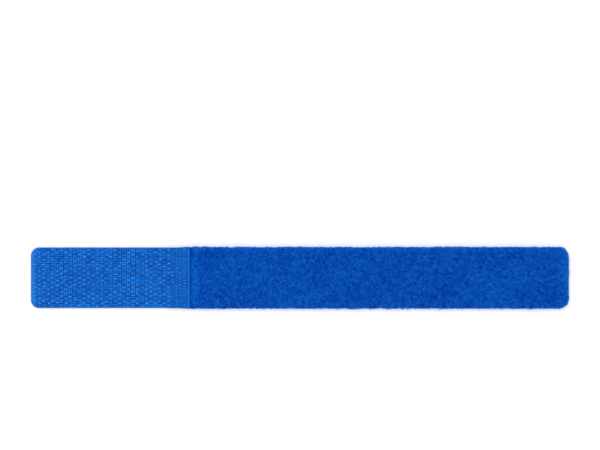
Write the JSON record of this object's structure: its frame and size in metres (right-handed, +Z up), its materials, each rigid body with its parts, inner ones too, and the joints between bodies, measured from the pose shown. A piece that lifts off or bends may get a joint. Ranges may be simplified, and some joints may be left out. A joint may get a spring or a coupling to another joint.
{
  "type": "hook and loop wrap strap",
  "caption": "Flexible woven wrap strap with a welded hook tab at one end and brushed loops along the rest, which rolls up and closes on itself.",
  "frame": {"origin": "middle of the strap's length and width, on the surface that it lies on", "axes": "+X along the strap from the hook tab to the loop end, +Z up, away from the back; hooks and loops face +Z"},
  "size_m": [0.175, 0.02, 0.0023],
  "materials": {
    "loop_pile": "matt brushed loop pile of fine polyamide filaments",
    "strap_cloth": "woven ground cloth with a short napped back",
    "hook_tape": "plain woven tape, coated on its back",
    "hooks": "semi-gloss monofilament hooks",
    "weld": "pressed and fused lap of the two tapes"
  },
  "bodies": {
    "panel_01": {"hook_tape_01": "hook_tape", "hook_rows_01": "hooks"},
    "panel_02": {"hook_tape_02": "hook_tape", "hook_rows_02": "hooks"},
    "panel_03": {"hook_tape_03": "hook_tape", "hook_rows_03": "hooks"},
    "panel_04": {"hook_tape_04": "hook_tape", "hook_rows_04": "hooks"},
    "panel_05": {"weld_band_05": "weld", "strap_cloth_05": "strap_cloth", "loop_pile_05": "loop_pile"},
    "panel_06": {"strap_cloth_06": "strap_cloth", "loop_pile_06": "loop_pile"},
    "panel_07": {"strap_cloth_07": "strap_cloth", "loop_pile_07": "loop_pile"},
    "panel_08": {"strap_cloth_08": "strap_cloth", "loop_pile_08": "loop_pile"},
    "panel_09": {"strap_cloth_09": "strap_cloth", "loop_pile_09": "loop_pile"},
    "panel_10": {"strap_cloth_10": "strap_cloth", "loop_pile_10": "loop_pile"},
    "panel_11": {"strap_cloth_11": "strap_cloth", "loop_pile_11": "loop_pile"},
    "panel_12": {"strap_cloth_12": "strap_cloth", "loop_pile_12": "loop_pile"},
    "panel_13": {"strap_cloth_13": "strap_cloth", "loop_pile_13": "loop_pile"},
    "panel_14": {"strap_cloth_14": "strap_cloth", "loop_pile_14": "loop_pile"},
    "panel_15": {"strap_cloth_15": "strap_cloth", "loop_pile_15": "loop_pile"},
    "panel_16": {"strap_cloth_16": "strap_cloth", "loop_pile_16": "loop_pile"},
    "panel_17": {"strap_cloth_17": "strap_cloth", "loop_pile_17": "loop_pile"},
    "panel_18": {"strap_cloth_18": "strap_cloth", "loop_pile_18": "loop_pile"},
    "panel_19": {"strap_cloth_19": "strap_cloth", "loop_pile_19": "loop_pile"},
    "panel_20": {"strap_cloth_20": "strap_cloth", "loop_pile_20": "loop_pile"},
    "panel_21": {"strap_cloth_21": "strap_cloth", "loop_pile_21": "loop_pile"},
    "panel_22": {"strap_cloth_22": "strap_cloth", "loop_pile_22": "loop_pile"},
    "panel_23": {"strap_cloth_23": "strap_cloth", "loop_pile_23": "loop_pile"},
    "panel_24": {"strap_cloth_24": "strap_cloth", "loop_pile_24": "loop_pile"}
  },
  "joints": [
    {"name": "roll_up", "type": "hinge", "parent": "panel_03", "child": "panel_04", "pos_m": [-0.05131, 0, 0.00035], "axis": [0, -1, 0], "range_deg": [0, 45]},
    {"name": "roll_bend_05", "type": "hinge", "parent": "panel_04", "child": "panel_05", "pos_m": [-0.0419, 0, 0.00035], "axis": [0, -1, 0], "range_deg": [0, 45]},
    {"name": "roll_bend_06", "type": "hinge", "parent": "panel_05", "child": "panel_06", "pos_m": [-0.03277, 0, 0.00035], "axis": [0, -1, 0], "range_deg": [0, 45]},
    {"name": "roll_bend_07", "type": "hinge", "parent": "panel_06", "child": "panel_07", "pos_m": [-0.02393, 0, 0.00035], "axis": [0, -1, 0], "range_deg": [0, 45]},
    {"name": "roll_bend_08", "type": "hinge", "parent": "panel_07", "child": "panel_08", "pos_m": [-0.01536, 0, 0.00035], "axis": [0, -1, 0], "range_deg": [0, 45]},
    {"name": "roll_bend_09", "type": "hinge", "parent": "panel_08", "child": "panel_09", "pos_m": [-0.00707, 0, 0.00035], "axis": [0, -1, 0], "range_deg": [0, 45]},
    {"name": "roll_bend_10", "type": "hinge", "parent": "panel_09", "child": "panel_10", "pos_m": [0.00093, 0, 0.00035], "axis": [0, -1, 0], "range_deg": [0, 45]},
    {"name": "roll_bend_11", "type": "hinge", "parent": "panel_10", "child": "panel_11", "pos_m": [0.00866, 0, 0.00035], "axis": [0, -1, 0], "range_deg": [0, 45]},
    {"name": "roll_bend_12", "type": "hinge", "parent": "panel_11", "child": "panel_12", "pos_m": [0.01611, 0, 0.00035], "axis": [0, -1, 0], "range_deg": [0, 45]},
    {"name": "roll_bend_13", "type": "hinge", "parent": "panel_12", "child": "panel_13", "pos_m": [0.02328, 0, 0.00035], "axis": [0, -1, 0], "range_deg": [0, 45]},
    {"name": "roll_bend_14", "type": "hinge", "parent": "panel_13", "child": "panel_14", "pos_m": [0.03017, 0, 0.00035], "axis": [0, -1, 0], "range_deg": [0, 45]},
    {"name": "roll_bend_15", "type": "hinge", "parent": "panel_14", "child": "panel_15", "pos_m": [0.03678, 0, 0.00035], "axis": [0, -1, 0], "range_deg": [0, 45]},
    {"name": "roll_bend_16", "type": "hinge", "parent": "panel_15", "child": "panel_16", "pos_m": [0.04311, 0, 0.00035], "axis": [0, -1, 0], "range_deg": [0, 45]},
    {"name": "roll_bend_17", "type": "hinge", "parent": "panel_16", "child": "panel_17", "pos_m": [0.04916, 0, 0.00035], "axis": [0, -1, 0], "range_deg": [0, 45]},
    {"name": "roll_bend_18", "type": "hinge", "parent": "panel_17", "child": "panel_18", "pos_m": [0.05493, 0, 0.00035], "axis": [0, -1, 0], "range_deg": [0, 45]},
    {"name": "roll_bend_19", "type": "hinge", "parent": "panel_18", "child": "panel_19", "pos_m": [0.06042, 0, 0.00035], "axis": [0, -1, 0], "range_deg": [0, 45]},
    {"name": "roll_bend_20", "type": "hinge", "parent": "panel_19", "child": "panel_20", "pos_m": [0.06563, 0, 0.00035], "axis": [0, -1, 0], "range_deg": [0, 45]},
    {"name": "roll_bend_21", "type": "hinge", "parent": "panel_20", "child": "panel_21", "pos_m": [0.07057, 0, 0.00035], "axis": [0, -1, 0], "range_deg": [0, 45]},
    {"name": "roll_bend_22", "type": "hinge", "parent": "panel_21", "child": "panel_22", "pos_m": [0.07522, 0, 0.00035], "axis": [0, -1, 0], "range_deg": [0, 45]},
    {"name": "roll_bend_23", "type": "hinge", "parent": "panel_22", "child": "panel_23", "pos_m": [0.07959, 0, 0.00035], "axis": [0, -1, 0], "range_deg": [0, 45]},
    {"name": "roll_bend_24", "type": "hinge", "parent": "panel_23", "child": "panel_24", "pos_m": [0.08369, 0, 0.00035], "axis": [0, -1, 0], "range_deg": [0, 45]},
    {"name": "tab_close", "type": "hinge", "parent": "panel_03", "child": "panel_02", "pos_m": [-0.06099, 0, 0.00035], "axis": [0, 1, 0], "range_deg": [0, 45]},
    {"name": "tab_bend_01", "type": "hinge", "parent": "panel_02", "child": "panel_01", "pos_m": [-0.07096, 0, 0.00035], "axis": [0, 1, 0], "range_deg": [0, 45]}
  ],
  "couplings": [
    {"joint": "roll_bend_05", "follows": "roll_up", "ratio": 1},
    {"joint": "roll_bend_06", "follows": "roll_up", "ratio": 1},
    {"joint": "roll_bend_07", "follows": "roll_up", "ratio": 1},
    {"joint": "roll_bend_08", "follows": "roll_up", "ratio": 1},
    {"joint": "roll_bend_09", "follows": "roll_up", "ratio": 1},
    {"joint": "roll_bend_10", "follows": "roll_up", "ratio": 1},
    {"joint": "roll_bend_11", "follows": "roll_up", "ratio": 1},
    {"joint": "roll_bend_12", "follows": "roll_up", "ratio": 1},
    {"joint": "roll_bend_13", "follows": "roll_up", "ratio": 1},
    {"joint": "roll_bend_14", "follows": "roll_up", "ratio": 1},
    {"joint": "roll_bend_15", "follows": "roll_up", "ratio": 1},
    {"joint": "roll_bend_16", "follows": "roll_up", "ratio": 1},
    {"joint": "roll_bend_17", "follows": "roll_up", "ratio": 1},
    {"joint": "roll_bend_18", "follows": "roll_up", "ratio": 1},
    {"joint": "roll_bend_19", "follows": "roll_up", "ratio": 1},
    {"joint": "roll_bend_20", "follows": "roll_up", "ratio": 1},
    {"joint": "roll_bend_21", "follows": "roll_up", "ratio": 1},
    {"joint": "roll_bend_22", "follows": "roll_up", "ratio": 1},
    {"joint": "roll_bend_23", "follows": "roll_up", "ratio": 1},
    {"joint": "roll_bend_24", "follows": "roll_up", "ratio": 1},
    {"joint": "tab_bend_01", "follows": "tab_close", "ratio": 1}
  ]
}
